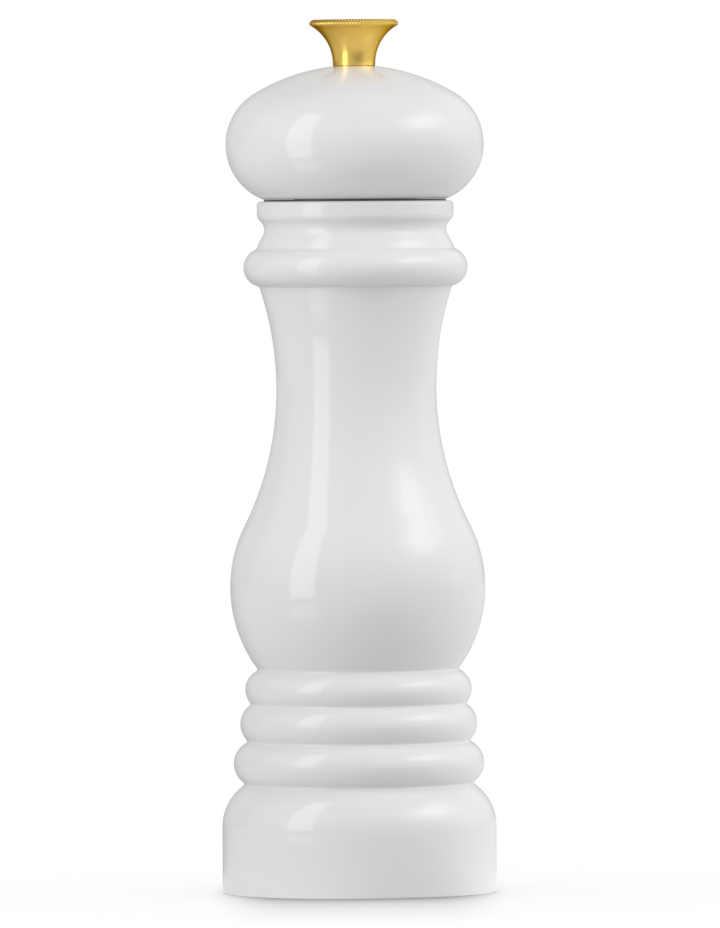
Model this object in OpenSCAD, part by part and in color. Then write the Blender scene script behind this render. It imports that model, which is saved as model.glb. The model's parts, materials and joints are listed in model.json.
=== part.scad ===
// Classic pepper mill, 210 mm tall: turned outline, screw-down knob, turning head and conical burr grinder.
// Z is up and the origin is the centre of the foot, on the table.
// The head turns the spindle by its drive plate. The knob pulls the spindle and its burr cone up into the
// burr ring for a finer grind, and the spring pushes them down again for a coarser one.
// An outline is a list of [radius, height] points, made of arcs that run into each other.

/* [Foot and beads] */
// Radius of the foot
foot_r = 33; // [31:0.5:35]
// Height at which the foot's straight skirt ends
foot_h = 15.9; // [14:0.1:18]
// Radius of the foot's round shoulder
foot_round = 12.2; // [11.8:0.1:13]
// Bevel on the foot's lower edge
foot_edge = 0.5; // [0.3:0.1:1]
// Greatest radius of each bead, lowest bead first
bead_r = [30.15, 28.5, 27.25]; // [26:0.05:31]
// Roundness of each bead's side
bead_round = [5.6, 5.6, 5]; // [4.5:0.1:6.5]
// Rise from the end of the skirt to the first bead, and from each bead to the next
bead_rise = [15.25, 9.5, 8.3]; // [8:0.05:16]
// Roundness at the bottom of the grooves between the beads
groove_round = 0.6; // [0.4:0.1:1]

/* [Belly, waist and collar] */
// Greatest radius of the belly
belly_r = 30.7; // [29:0.05:32]
// Roundness of the belly's side
belly_round = 33; // [31:0.5:36]
// Rise from the top bead to the belly
belly_rise = 24.55; // [23:0.05:26]
// Radius of the waist
waist_r = 19.25; // [18.8:0.05:21]
// Rise from the belly to the waist
waist_rise = 48; // [44:0.5:52]
// Roundness of the flare above the waist
neck_round = 77; // [70:1:90]
// How far the cove under the rim stands out past the waist
cove_out = 2.65; // [2.2:0.05:3]
// Roundness of the cove
cove_round = 2.8; // [2.4:0.1:3.2]
// How far the collar stands out past the cove
collar_out = 5.05; // [4.8:0.05:5.4]
// Roundness of the collar
collar_round = 4.7; // [4.4:0.1:5]
// Rise from the waist to the collar
collar_rise = 29; // [27:0.1:32]
// How far the bell would stand out past the cove, if it ran on down to the collar's middle
bell_out = 2.65; // [2.4:0.05:2.9]
// Roundness of the bell, which is the slope between the cove and the collar
bell_round = 14; // [13:0.5:16]
// How far the rim that carries the head stands out past the cove
rim_out = 1.75; // [1.6:0.05:2.2]
// Rise from the collar to the top of the rim
rim_rise = 15.9; // [15.5:0.1:18]
// Roundness of the rim's lower edge and of its upper edge
rim_edges = [2.1, 0.9]; // [0.6:0.1:2.4]

/* [Body shell and tube] */
// Wall of the body shell
body_wall = 2.8; // [2.4:0.1:3]
// Thickness of the rim's inner flange
rim_flange_t = 3; // [2.5:0.5:5]
// Thickness of the lip that stops the tube at the rim
tube_stop_t = 1; // [0.8:0.1:1.5]
// Wall of the pepper tube
tube_wall = 1.3; // [1:0.1:1.8]
// Radius of the flange at the tube's lower end
tube_flange_r = 21.6; // [20.5:0.1:22]
// Thickness of that flange
tube_flange_t = 2; // [1.5:0.5:3]
// How far the glide ring lies inside the rim
glide_inset = 1.7; // [1.5:0.1:2]
// Width of the glide ring
glide_w = 4.7; // [4:0.1:5]

/* [Head] */
// Greatest radius of the head
head_r = 31.05; // [29:0.05:33]
// Rise from the head's underside to its widest point
head_rise = 13.2; // [12:0.1:14]
// Radius of the head's lower edge
head_edge_r = 22.25; // [21.5:0.05:23]
// Rise from the head's widest point to its crown
crown_rise = 19; // [18:0.05:20]
// Roundness of the crown
crown_round = 46.5; // [44:0.5:54]
// Wall of the head shell
head_wall = 2.6; // [2.2:0.1:3]
// Radius of the opening in the head's underside
head_mouth_r = 20.5; // [19:0.1:21.5]
// Radius of the flat seat in the crown, under the knob
seat_r = 5.6; // [5.4:0.1:6.5]
// Depth of that seat
seat_depth = 0.75; // [0.6:0.05:1.2]
// Thickness of the crown under the seat
crown_boss_t = 3.5; // [3:0.5:5]
// Depth of the spigot that centres the head in the tube
spigot_depth = 10; // [8:0.5:14]
// Wall of the head core
core_wall = 2; // [1.5:0.1:2.5]
// Thickness of the steel drive plate
drive_plate_t = 1.5; // [1:0.1:2]
// Radius of the circle of the drive plate's screws
drive_screw_r = 8.4; // [8:0.1:8.8]

/* [Knob] */
// Height of the knob
knob_h = 11.15; // [11:0.05:14]
// Radius of the knob's foot
knob_foot_r = 5.1; // [4.9:0.05:5.6]
// Height of the straight part of the knob's foot
knob_foot_h = 0.6; // [0.4:0.1:1.5]
// Radius of the knob's rim
knob_rim_r = 10.7; // [9.5:0.1:12]
// Height of the upright edge of the knob's rim
knob_rim_h = 0.4; // [0.3:0.1:1]
// Bevels on the knob's rim, below its upright edge and above it
knob_bevel = [0.25, 0.75]; // [0.2:0.05:0.8]
// Number of teeth in the knurl
knurl_count = 88; // [60:1:100]
// Depth of the knurl
knurl_depth = 0.35; // [0.2:0.05:0.4]
// How much is turned off the tips of its teeth
knurl_tip = 0.1; // [0.05:0.05:0.15]
// Depth of the dish in the knob's top
knob_dish = 0.35; // [0.2:0.05:0.6]
// Width of the plain band round the dish
knob_band = 1.2; // [1:0.1:3]
// Thickness of the washer under the knob
knob_washer_t = 0.5; // [0.4:0.1:1]

/* [Spindle] */
// Width across the flats of the square spindle
spindle_side = 5; // [4.8:0.1:5.4]
// Radius to which the spindle's corners are turned
spindle_corner_r = 3.35; // [3.2:0.05:3.45]
// Radius of the threaded ends, M5
thread_r = 2.5; // [2.2:0.1:2.5]
// Length of thread inside the knob
thread_engage = 8.5; // [7:0.5:9]
// Distance from the crown's underside down to the spindle's upper shoulder
shoulder_drop = 4; // [3:0.5:8]
// Bevel at the spindle's ends and shoulders
spindle_bevel = 0.5; // [0.3:0.1:0.8]

/* [Burrs] */
// Outer radius of the burr ring
burr_ring_r = 17.5; // [17:0.1:18]
// Height of the burr ring
burr_ring_h = 14; // [12:0.5:16]
// Height of the burr ring's seat above the table
burr_seat_z = 8; // [7.5:0.5:10]
// Radius of the burr ring's bore at its lower edge
burr_mouth_r = 14.65; // [14.2:0.05:15]
// Radius of the burr ring's bore at its upper edge
burr_throat_r = 14.6; // [14:0.1:15]
// Height of the finely toothed band at the burrs' lower edges
land_h = 4; // [3:0.5:5]
// Taper of that band, as radius over height
land_taper = 0.3; // [0.2:0.05:0.35]
// Gap between the burrs at the finest grind
burr_gap = 0.3; // [0.2:0.05:0.5]
// How far the burr cone's foot lies above the burr ring's
burr_lift = 0.6; // [0.3:0.1:1]
// Height of the burr cone
burr_cone_h = 18.4; // [17:0.1:19.4]
// Radius of the burr cone's top
burr_top_r = 9.6; // [9:0.1:10]
// Number of fine teeth on each burr
tooth_count = 36; // [24:1:40]
// Depth of the fine teeth
tooth_depth = 0.6; // [0.4:0.1:0.8]
// How far the grooves between them run past that band at each end
tooth_past = 1.4; // [1:0.1:2]
// Slant of the fine teeth and of the flutes
burr_skew = 20; // [10:1:25]
// Number of coarse flutes on the burr cone
flute_count = 7; // [5:1:8]
// Width of the floor of each of them
flute_w = 3; // [2:0.1:3.6]
// Depth of each of them at the cone's top
flute_depth = 2.2; // [1.5:0.1:2.3]
// Number of coarse flutes in the burr ring
ring_flute_count = 12; // [9:1:14]
// Radius of the cutter of each of them
ring_flute_r = 1.6; // [1.2:0.1:1.8]
// Depth of each of them at the ring's top
ring_flute_depth = 1.3; // [1:0.1:1.6]
// Width of the keys that stop the burr ring from turning
key_w = 2.4; // [2:0.1:3]
// Depth of those keys
key_depth = 0.9; // [0.6:0.1:1]
// How far those keys end below the top of the housing
key_drop = 0.6; // [0.4:0.1:1]
// Width across the flats of the burr cone's hexagonal hub
hub_af = 9.6; // [9.2:0.1:10]
// Height of the hub inside the burr cone
hub_h = 7.8; // [6:0.1:8.5]
// Radius and thickness of the hub's flange
hub_flange = [7, 1.2]; // [1:0.1:8]
// Radius and depth of the spring's recess in the burr cone
spring_recess = [6.4, 6.5]; // [6:0.1:7]
// Radius and thickness of the washer under the hub
burr_washer_size = [5, 0.6]; // [0.5:0.1:6]
// Width across the flats and thickness of the nut under it, M5
burr_nut_size = [8, 2.7]; // [2:0.1:8]
// How far the spindle shows under the nut
spindle_tail = 1; // [0.5:0.1:1.2]

/* [Bridge and spring] */
// Gap between the top of the burr ring and the arms
arm_clear = 7.6; // [7:0.1:9]
// Width and height of the bridge's arms
arm_size = [3.2, 4]; // [2.5:0.1:5]
// Width of the ridge along the top of each arm, and height of the arm's upright sides
arm_ridge = [0.8, 2]; // [0.4:0.1:2.4]
// Wall of the bridge's hoop
hoop_wall = 1.9; // [1.6:0.1:2.2]
// Wall of the bridge's hub, round the bush
bridge_hub_wall = 2.2; // [1.6:0.1:2.8]
// Height of that hub
bridge_hub_h = 6; // [5:0.5:8]
// Wall of the bush
bush_wall = 1.5; // [1.2:0.1:2]
// Width and thickness of the bush's flange
bush_flange = [1.3, 1]; // [0.6:0.1:2]
// Radius and thickness of the keyed spring washer
spring_washer_size = [6.2, 0.8]; // [0.6:0.1:6.6]
// Mean radius of the spring
spring_r = 5; // [4.8:0.1:5.5]
// Radius of the spring's wire
wire_r = 0.4; // [0.3:0.05:0.5]
// Number of turns of the spring
spring_turns = 5; // [4:1:6]

/* [Base] */
// Height of the base plate above the table
base_recess = 4; // [3.8:0.1:4.4]
// Thickness of the base plate
base_plate_t = 2.5; // [2:0.5:3]
// Wall of the base plate's sleeve
sleeve_wall = 1.5; // [1.2:0.1:2]
// Wall of the grinder housing
housing_wall = 2.4; // [2:0.1:2.8]
// Thickness of the housing's lip, under the burr ring
lip_t = 1.2; // [1:0.1:1.6]
// How far the lip's edge stands back from the burrs
lip_back = 0.55; // [0.4:0.05:0.8]
// How much wider the outlet is at the bottom of the housing
outlet_flare = 2.8; // [2:0.1:3]
// Width and thickness of the housing's flange
housing_flange = [2, 1.8]; // [1.6:0.1:2.2]
// Number of ribs on the base plate
rib_count = 6; // [6:6:12]
// Thickness and height of those ribs
rib_size = [1.6, 5]; // [1:0.5:6]
// Gap between the ribs and the skirt
rib_gap = 0.8; // [0.5:0.1:1.5]

/* [Screws] */
// Radius of the screws' shanks
screw_r = 1.2; // [1:0.1:1.3]
// Length of the screws' shanks
screw_len = 8; // [6:0.5:8.5]
// Radius and height of the screws' heads
screw_head = [2.2, 1.4]; // [1:0.1:2.4]
// Width of the bevel round those heads, and its height
screw_bevel = [0.4, 0.5]; // [0.2:0.1:0.8]
// Radius of the screws' blunt tips
screw_tip_r = 0.2; // [0.1:0.1:0.4]
// Wall of the bosses round the screws
boss_wall = 2; // [1.6:0.1:2.2]
// How far the bosses run into the wall beside them
boss_root = 1; // [0.6:0.1:1.4]
// How far the bosses reach past the screws' ends
boss_extra = 1.5; // [1:0.5:3]
// Length, width and depth of the cross recess in the screws' heads
cross_size = [2.6, 0.6, 0.8]; // [0.4:0.1:3]

/* [Clearances] */
// Gap between fixed pieces
fit_gap = 0.1; // [0.05:0.05:0.2]
// Gap between running pieces
run_gap = 0.05; // [0.03:0.01:0.1]
// Gap between the spigot and the tube, and between the spindle and the head
turn_gap = 0.25; // [0.15:0.05:0.4]
// Gap between the head and the body's rim
seam_gap = 0.5; // [0.4:0.1:0.8]

/* [Hidden] */
$fn = 96;
chord_error = 0.02;
past = 1; // how far a cutter reaches past the face that it cuts
screw_angles = [0, 120, 240];
between = 60; // from each of those angles to halfway to the next
coil_steps = 20; // flats in each turn of the spring
wire_sides = 8;

// ---- Heights, from the foot up ----
bead_z = [foot_h + bead_rise[0], foot_h + bead_rise[0] + bead_rise[1],
    foot_h + bead_rise[0] + bead_rise[1] + bead_rise[2]];
belly_z = bead_z[2] + belly_rise;
waist_z = belly_z + waist_rise;
collar_z = waist_z + collar_rise;
rim_z = collar_z + rim_rise;
head_z = rim_z + seam_gap;
head_mid_z = head_z + head_rise;
crown_z = head_mid_z + crown_rise;
seat_z = crown_z - seat_depth;
crown_boss_z = seat_z - crown_boss_t;
knob_z = seat_z + knob_washer_t;
spigot_z = head_z - spigot_depth;
drive_plate_z = spigot_z - drive_plate_t;

base_top_z = base_recess + base_plate_t;
burr_ring_top_z = burr_seat_z + burr_ring_h;
arm_z = burr_ring_top_z + arm_clear;
stack_z = arm_z + arm_size.y; // top of the bridge, the housing and the sleeve, where the tube stands
burr_z = burr_seat_z + burr_lift;
burr_top_z = burr_z + burr_cone_h;
hub_flange_z = burr_z - hub_flange[1];
burr_washer_z = hub_flange_z - burr_washer_size[1];
burr_nut_z = burr_washer_z - burr_nut_size[1];
spindle_z = burr_nut_z - spindle_tail;
spindle_top_z = knob_z + thread_engage;
spring_washer_z = arm_z - run_gap - spring_washer_size[1];
spring_z = burr_top_z - spring_recess[1];

// ---- Radii ----
cove_r = waist_r + cove_out;
collar_r = cove_r + collar_out;
rim_r = cove_r + rim_out;
skirt_bore_r = foot_r - body_wall;
tube_r = waist_r - body_wall - fit_gap;
tube_bore_r = tube_r - tube_wall;
spigot_r = tube_bore_r - turn_gap;
housing_bore_r = burr_ring_r + fit_gap;
housing_r = housing_bore_r + housing_wall;
sleeve_bore_r = housing_r + fit_gap;
sleeve_r = sleeve_bore_r + sleeve_wall;
outlet_r = burr_mouth_r + lip_back;
spindle_bore_r = spindle_corner_r + run_gap;
bush_r = spindle_bore_r + bush_wall;
bridge_hub_r = bush_r + bridge_hub_wall;
tower_bore_r = spindle_corner_r + turn_gap;
boss_r = screw_r + boss_wall;
base_screw_r = skirt_bore_r + boss_root - boss_r; // circle of the screws whose bosses stand by the skirt
housing_screw_r = sleeve_r - boss_root + boss_r; // circle of the screws whose bosses stand by the sleeve
square_hole = spindle_side + 2 * run_gap;

// ---- Centres and radii of the arcs of the outline ----
swells = [[[foot_r - foot_round, foot_h], foot_round],
    for (i = [0 : 2]) [[bead_r[i] - bead_round[i], bead_z[i]], bead_round[i]],
    [[belly_r - belly_round, belly_z], belly_round]];
// the waist's arc touches the belly's and has its throat at the waist
waist_round = (pow(belly_r - waist_r, 2) + pow(waist_rise, 2)) / (2 * (belly_r - waist_r)) - belly_round;
waist_c = [waist_r + waist_round, waist_z];
neck_c = [waist_r + neck_round, waist_z];
collar_c = [collar_r - collar_round, collar_z];
nook_c = meet(collar_c, collar_round + groove_round, neck_c, neck_round - groove_round);
bell_c = [cove_r + bell_out - bell_round, collar_z];
ledge_c = meet(collar_c, collar_round + groove_round, bell_c, bell_round + groove_round);
cove_c = above(bell_c, bell_round + cove_round, cove_r + cove_round);
rim_low_c = above(cove_c, cove_round + rim_edges[0], rim_r - rim_edges[0]);
rim_top_c = [rim_r - rim_edges[1], rim_z - rim_edges[1]];
// the lower arc runs from the head's widest point to its lower edge
head_low_round = (pow(head_r - head_edge_r, 2) + pow(head_rise, 2)) / (2 * (head_r - head_edge_r));
head_low_c = [head_r - head_low_round, head_mid_z];
crown_c = [0, crown_z - crown_round];
// the shoulder's arc touches the crown's and stands upright at the head's widest point
shoulder_round = (pow(crown_round, 2) - pow(head_r, 2) - pow(crown_round - crown_rise, 2))
    / (2 * (crown_round - head_r));
shoulder_c = [head_r - shoulder_round, head_mid_z];

// ---- Arcs ----
function bearing(p, q) = atan2(q.y - p.y, q.x - p.x);
// points of an arc, by the shorter way round from angle a to angle b
function arc(centre, r, a, b) =
    let(turn = (b - a + 540) % 360 - 180,
        steps = max(1, ceil(abs(turn) / (2 * acos(1 - chord_error / max(r, 4 * chord_error))))))
    [for (i = [0 : steps]) centre + r * [cos(a + turn * i / steps), sin(a + turn * i / steps)]];
// the point that lies ra from p and rb from q, on the right of the way from p to q
function meet(p, ra, q, rb) =
    let(d = norm(q - p), u = (q - p) / d, along = (d * d + ra * ra - rb * rb) / (2 * d))
    p + along * u + sqrt(ra * ra - along * along) * [u.y, -u.x];
// the point above p, at distance d from it and at radius r from the axis
function above(p, d, r) = [r, p.y + sqrt(d * d - pow(r - p.x, 2))];
// the same points without those where one arc ends and the next starts
function joined(points) = [for (i = [0 : len(points) - 1])
    if (i == 0 || norm(points[i] - points[i - 1]) > 0.001) points[i]];
function backwards(points) = [for (i = [len(points) - 1 : -1 : 0]) points[i]];
// centre of the groove between one swell and the next
function dip(i) = let(p = swells[i], q = swells[i + 1])
    meet(p[0], p[1] + groove_round, q[0], q[1] + groove_round);

// ---- The body's outline at a depth under its surface, from the foot's shoulder to the cove ----
function foot_to_belly(depth) = [for (i = [0 : len(swells) - 1])
    let(c = swells[i][0], last = i == len(swells) - 1, next = last ? waist_c : dip(i))
    each concat(
        arc(c, swells[i][1] - depth, i == 0 ? 0 : bearing(c, dip(i - 1)), bearing(c, next)),
        last ? [] : arc(next, groove_round + depth, bearing(next, c), bearing(next, swells[i + 1][0])))];
function waist_to_cove(depth, cove_end) = concat(
    arc(waist_c, waist_round + depth, bearing(waist_c, swells[4][0]), 180),
    arc(neck_c, neck_round + depth, 180, bearing(neck_c, nook_c)),
    arc(nook_c, groove_round + depth, bearing(neck_c, nook_c), bearing(nook_c, collar_c)),
    arc(collar_c, collar_round - depth, bearing(collar_c, nook_c), bearing(collar_c, ledge_c)),
    arc(ledge_c, groove_round + depth, bearing(ledge_c, collar_c), bearing(ledge_c, bell_c)),
    arc(bell_c, bell_round - depth, bearing(bell_c, ledge_c), bearing(bell_c, cove_c)),
    arc(cove_c, cove_round + depth, bearing(cove_c, bell_c), cove_end));
body_outside = concat([[foot_r - foot_edge, 0], [foot_r, foot_edge]],
    foot_to_belly(0), waist_to_cove(0, bearing(cove_c, rim_low_c)),
    arc(rim_low_c, rim_edges[0], bearing(rim_low_c, cove_c), 0),
    arc(rim_top_c, rim_edges[1], 0, 90));
body_inside = concat([[skirt_bore_r, 0]], foot_to_belly(body_wall), waist_to_cove(body_wall, 180),
    [[cove_r - body_wall, rim_z - rim_flange_t], [tube_r + fit_gap, rim_z - rim_flange_t],
    [tube_r + fit_gap, rim_z - tube_stop_t], [tube_bore_r, rim_z - tube_stop_t], [tube_bore_r, rim_z]]);

// ---- Small shared shapes ----
module ring(outer, inner, z, h) {
    translate([0, 0, z]) difference() {
        cylinder(r = outer, h = h);
        translate([0, 0, -past]) cylinder(r = inner, h = h + 2 * past);
    }
}
module at_screws(r, turn = 0) {
    for (a = screw_angles) translate(r * [cos(a + turn), sin(a + turn), 0]) children();
}
// a pan-head screw that points up, with the underside of its head at z = 0
module screw() {
    difference() {
        rotate_extrude() polygon([[0, -screw_head[1]], [screw_head[0] - screw_bevel.x, -screw_head[1]],
            [screw_head[0], screw_bevel.y - screw_head[1]], [screw_head[0], 0], [screw_r, 0],
            [screw_r, screw_len - screw_r], [screw_tip_r, screw_len], [0, screw_len]]);
        for (a = [0, 90]) rotate([0, 0, a])
            translate([-cross_size.x / 2, -cross_size.y / 2, -screw_head[1] - past])
                cube([cross_size.x, cross_size.y, cross_size.z + past]);
    }
}
module square_bore(side, z, h) {
    translate([-side / 2, -side / 2, z]) cube([side, side, h]);
}
module hexagon(af, z, h) {
    translate([0, 0, z]) cylinder(r = af / 2 / cos(30), h = h, $fn = 6);
}

// ---- Body ----
module body_shell() {
    color("whitesmoke") difference() {
        union() {
            rotate_extrude() polygon(joined(concat(body_outside, backwards(body_inside))));
            at_screws(base_screw_r, between) translate([0, 0, base_top_z])
                cylinder(r = boss_r, h = screw_len + boss_extra - base_plate_t + screw_head[1]);
        }
        at_screws(base_screw_r, between) translate([0, 0, base_top_z - past])
            cylinder(r = screw_r + run_gap, h = past + screw_len - base_plate_t + screw_head[1] + fit_gap);
    }
}
module pepper_tube() {
    color("gainsboro") rotate_extrude() polygon([[tube_bore_r, stack_z], [tube_flange_r, stack_z],
        [tube_flange_r, stack_z + tube_flange_t], [tube_r, stack_z + tube_flange_t],
        [tube_r, rim_z - tube_stop_t], [tube_bore_r, rim_z - tube_stop_t]]);
}
module base_plate() {
    sleeve_mid_r = (sleeve_bore_r + sleeve_r) / 2;
    color("gainsboro") difference() {
        union() {
            translate([0, 0, base_recess]) cylinder(r = skirt_bore_r - fit_gap, h = base_plate_t);
            translate([0, 0, base_recess]) cylinder(r = sleeve_r, h = stack_z - base_recess);
            at_screws(housing_screw_r) translate([0, 0, base_recess])
                cylinder(r = boss_r, h = screw_len + boss_extra - housing_flange[1]);
            for (i = [0 : rib_count - 1]) rotate([0, 0, (i + 0.5) * 360 / rib_count])
                translate([sleeve_mid_r, -rib_size.x / 2, base_recess])
                    cube([skirt_bore_r - rib_gap - sleeve_mid_r, rib_size.x, base_plate_t + rib_size.y]);
        }
        translate([0, 0, base_recess - past]) cylinder(r = sleeve_bore_r, h = stack_z);
        at_screws(housing_screw_r) translate([0, 0, base_recess - past])
            cylinder(r = screw_r + run_gap, h = past + screw_len - housing_flange[1] + fit_gap);
        at_screws(base_screw_r, between) translate([0, 0, base_recess - past]) {
            cylinder(r = screw_r + fit_gap, h = base_plate_t + 2 * past);
            cylinder(r = screw_head[0] + fit_gap, h = screw_head[1] + past);
        }
    }
}
module base_plate_screws() {
    color("silver") at_screws(base_screw_r, between) translate([0, 0, base_recess + screw_head[1]]) screw();
}
module glide_ring() {
    color("dimgray") ring(rim_r - glide_inset, rim_r - glide_inset - glide_w, rim_z, seam_gap - run_gap);
}

// ---- Grinder: fixed pieces ----
housing_z = base_recess - housing_flange[1];
module grinder_housing() {
    color("dimgray") difference() {
        union() {
            rotate_extrude() polygon([[outlet_r, burr_seat_z], [outlet_r, burr_seat_z - lip_t],
                [outlet_r + outlet_flare, housing_z], [housing_r + housing_flange[0], housing_z],
                [housing_r + housing_flange[0], base_recess], [housing_r, base_recess],
                [housing_r, stack_z], [housing_bore_r, stack_z], [housing_bore_r, burr_seat_z]]);
            at_screws(housing_screw_r) translate([0, 0, housing_z])
                cylinder(r = boss_r, h = housing_flange[1]);
            keys(key_w, key_depth, burr_seat_z - lip_t / 2, stack_z - key_drop, housing_wall / 2);
        }
        at_screws(housing_screw_r) translate([0, 0, housing_z - past])
            cylinder(r = screw_r + fit_gap, h = housing_flange[1] + 2 * past);
    }
}
// bars along the housing's bore that reach in by depth, and back into its wall by root
module keys(w, depth, z0, z1, root) {
    for (a = screw_angles) rotate([0, 0, a]) translate([housing_bore_r - depth, -w / 2, z0])
        cube([depth + root, w, z1 - z0]);
}
module key_slots(z0, z1) {
    keys(key_w + 2 * fit_gap, key_depth + fit_gap, z0 - past, z1 + past, past);
}
module housing_screws() {
    color("silver") at_screws(housing_screw_r) translate([0, 0, housing_z]) screw();
}
function burr_bore(z) = burr_mouth_r - land_taper * z; // radius of the ring's bore, z above its lower edge
// v-shaped grooves across a band that tapers inwards going up
module tooth_grooves(r, z, skew) {
    side = tooth_depth * sqrt(2);
    for (i = [0 : tooth_count - 1]) rotate([0, 0, i * 360 / tooth_count]) translate([r, 0, z])
        rotate([0, -atan(land_taper), 0]) rotate([skew, 0, 0]) rotate([0, 0, 45])
            cube([side, side, land_h + 2 * tooth_past], center = true);
}
module burr_ring() {
    start_r = burr_bore(land_h) - ring_flute_r;
    end_r = burr_throat_r + ring_flute_depth - ring_flute_r;
    run = burr_ring_h - land_h;
    color("oldlace") difference() {
        translate([0, 0, burr_seat_z]) rotate_extrude() polygon([[burr_mouth_r, 0], [burr_ring_r, 0],
            [burr_ring_r, burr_ring_h], [burr_throat_r, burr_ring_h], [burr_bore(land_h), land_h]]);
        tooth_grooves(burr_bore(land_h / 2), burr_seat_z + land_h / 2, -burr_skew);
        for (i = [0 : ring_flute_count - 1]) rotate([0, 0, (i + 0.5) * 360 / ring_flute_count])
            translate([(start_r + end_r) / 2, 0, burr_seat_z + land_h + run / 2])
                rotate([0, atan((end_r - start_r) / run), 0]) rotate([-burr_skew, 0, 0])
                    cylinder(r = ring_flute_r, h = 2 * run, center = true);
        key_slots(burr_seat_z, burr_ring_top_z);
    }
}
module bridge() {
    hub_mid_r = (bush_r + bridge_hub_r) / 2;
    hoop_mid_r = burr_ring_r - hoop_wall / 2;
    color("dimgray") difference() {
        union() {
            ring(burr_ring_r, burr_ring_r - hoop_wall, burr_ring_top_z, stack_z - burr_ring_top_z);
            translate([0, 0, arm_z]) cylinder(r = bridge_hub_r, h = bridge_hub_h);
            for (a = screw_angles) rotate([0, 0, a + between]) translate([hub_mid_r, 0, arm_z])
                arm(hoop_mid_r - hub_mid_r);
        }
        translate([0, 0, arm_z - past]) cylinder(r = bush_r, h = bridge_hub_h + 2 * past);
        key_slots(burr_ring_top_z, stack_z);
    }
}
// an arm with a sloping top, so that peppercorns roll off it
module arm(length) {
    half = arm_size.x / 2;
    rotate([90, 0, 90]) linear_extrude(height = length)
        polygon([[-half, 0], [half, 0], [half, arm_ridge.y], [arm_ridge.x / 2, arm_size.y],
            [-arm_ridge.x / 2, arm_size.y], [-half, arm_ridge.y]]);
}
module bridge_bush() {
    top = arm_z + bridge_hub_h;
    color("goldenrod") rotate_extrude() polygon([[spindle_bore_r, arm_z], [bush_r, arm_z], [bush_r, top],
        [bush_r + bush_flange[0], top], [bush_r + bush_flange[0], top + bush_flange[1]],
        [spindle_bore_r, top + bush_flange[1]]]);
}

// ---- Grinder: turning pieces ----
module spring_washer() {
    color("silver") difference() {
        translate([0, 0, spring_washer_z]) cylinder(r = spring_washer_size[0], h = spring_washer_size[1]);
        square_bore(square_hole, spring_washer_z - past, spring_washer_size[1] + 2 * past);
    }
}
// a wire helix whose first and last turns lie close, between two flat seats
module grinder_spring() {
    sides = wire_sides;
    steps = coil_steps * spring_turns;
    close = 2 * wire_r + run_gap;
    low = spring_z + fit_gap + wire_r;
    high = spring_washer_z - fit_gap - wire_r;
    open = (high - low - 2 * close) / (spring_turns - 2);
    function rise(u) = u < 1 ? close * u : u > spring_turns - 1 ? high - low - close * (spring_turns - u)
        : close + open * (u - 1);
    color("silver") polyhedron(
        points = [for (i = [0 : steps]) let(u = spring_turns * i / steps) for (j = [0 : sides - 1])
            let(r = spring_r + wire_r * cos(360 * j / sides))
            [r * cos(360 * u), r * sin(360 * u), low + rise(u) + wire_r * sin(360 * j / sides)]],
        faces = concat([[for (j = [0 : sides - 1]) j], [for (j = [sides - 1 : -1 : 0]) steps * sides + j]],
            [for (i = [0 : steps - 1]) for (j = [0 : sides - 1]) let(k = (j + 1) % sides)
                [i * sides + j, (i + 1) * sides + j, (i + 1) * sides + k, i * sides + k]]));
}
module spindle() {
    shoulder_z = crown_boss_z - shoulder_drop;
    square_z = hub_flange_z + spindle_bevel;
    b = spindle_bevel;
    color("silver") union() {
        rotate_extrude() polygon([[0, spindle_z], [thread_r - b, spindle_z], [thread_r, spindle_z + b],
            [thread_r, square_z + b], [0, square_z + b]]);
        intersection() {
            square_bore(spindle_side, square_z, shoulder_z - square_z);
            rotate_extrude() polygon([[0, square_z], [thread_r, square_z], [spindle_corner_r, square_z + b],
                [spindle_corner_r, shoulder_z - b], [thread_r, shoulder_z], [0, shoulder_z]]);
        }
        rotate_extrude() polygon([[0, shoulder_z - b], [thread_r, shoulder_z - b],
            [thread_r, spindle_top_z - b], [thread_r - b, spindle_top_z], [0, spindle_top_z]]);
    }
}
module burr_cone() {
    side_gap = burr_gap * sqrt(1 + land_taper * land_taper);
    function land_r(z) = burr_bore(burr_lift + z) - side_gap;
    floor_r = burr_top_r - flute_depth;
    run = burr_cone_h - land_h;
    color("oldlace") translate([0, 0, burr_z]) difference() {
        rotate_extrude() polygon([[0, 0], [land_r(0), 0], [land_r(land_h), land_h],
            [burr_top_r, burr_cone_h], [0, burr_cone_h]]);
        tooth_grooves(land_r(land_h / 2), land_h / 2, burr_skew);
        for (i = [0 : flute_count - 1]) rotate([0, 0, i * 360 / flute_count])
            translate([(land_r(land_h) + floor_r) / 2, 0, land_h + run / 2])
                rotate([0, -atan((land_r(land_h) - floor_r) / run), 0]) rotate([burr_skew, 0, 0])
                    flute_cutter(2 * run);
        translate([0, 0, burr_cone_h - spring_recess[1]]) cylinder(r = spring_recess[0], h = burr_cone_h);
        translate([0, 0, -past]) cylinder(r = tower_bore_r, h = burr_cone_h);
        hexagon(hub_af + 2 * fit_gap, -past, hub_h + fit_gap + past);
    }
}
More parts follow.
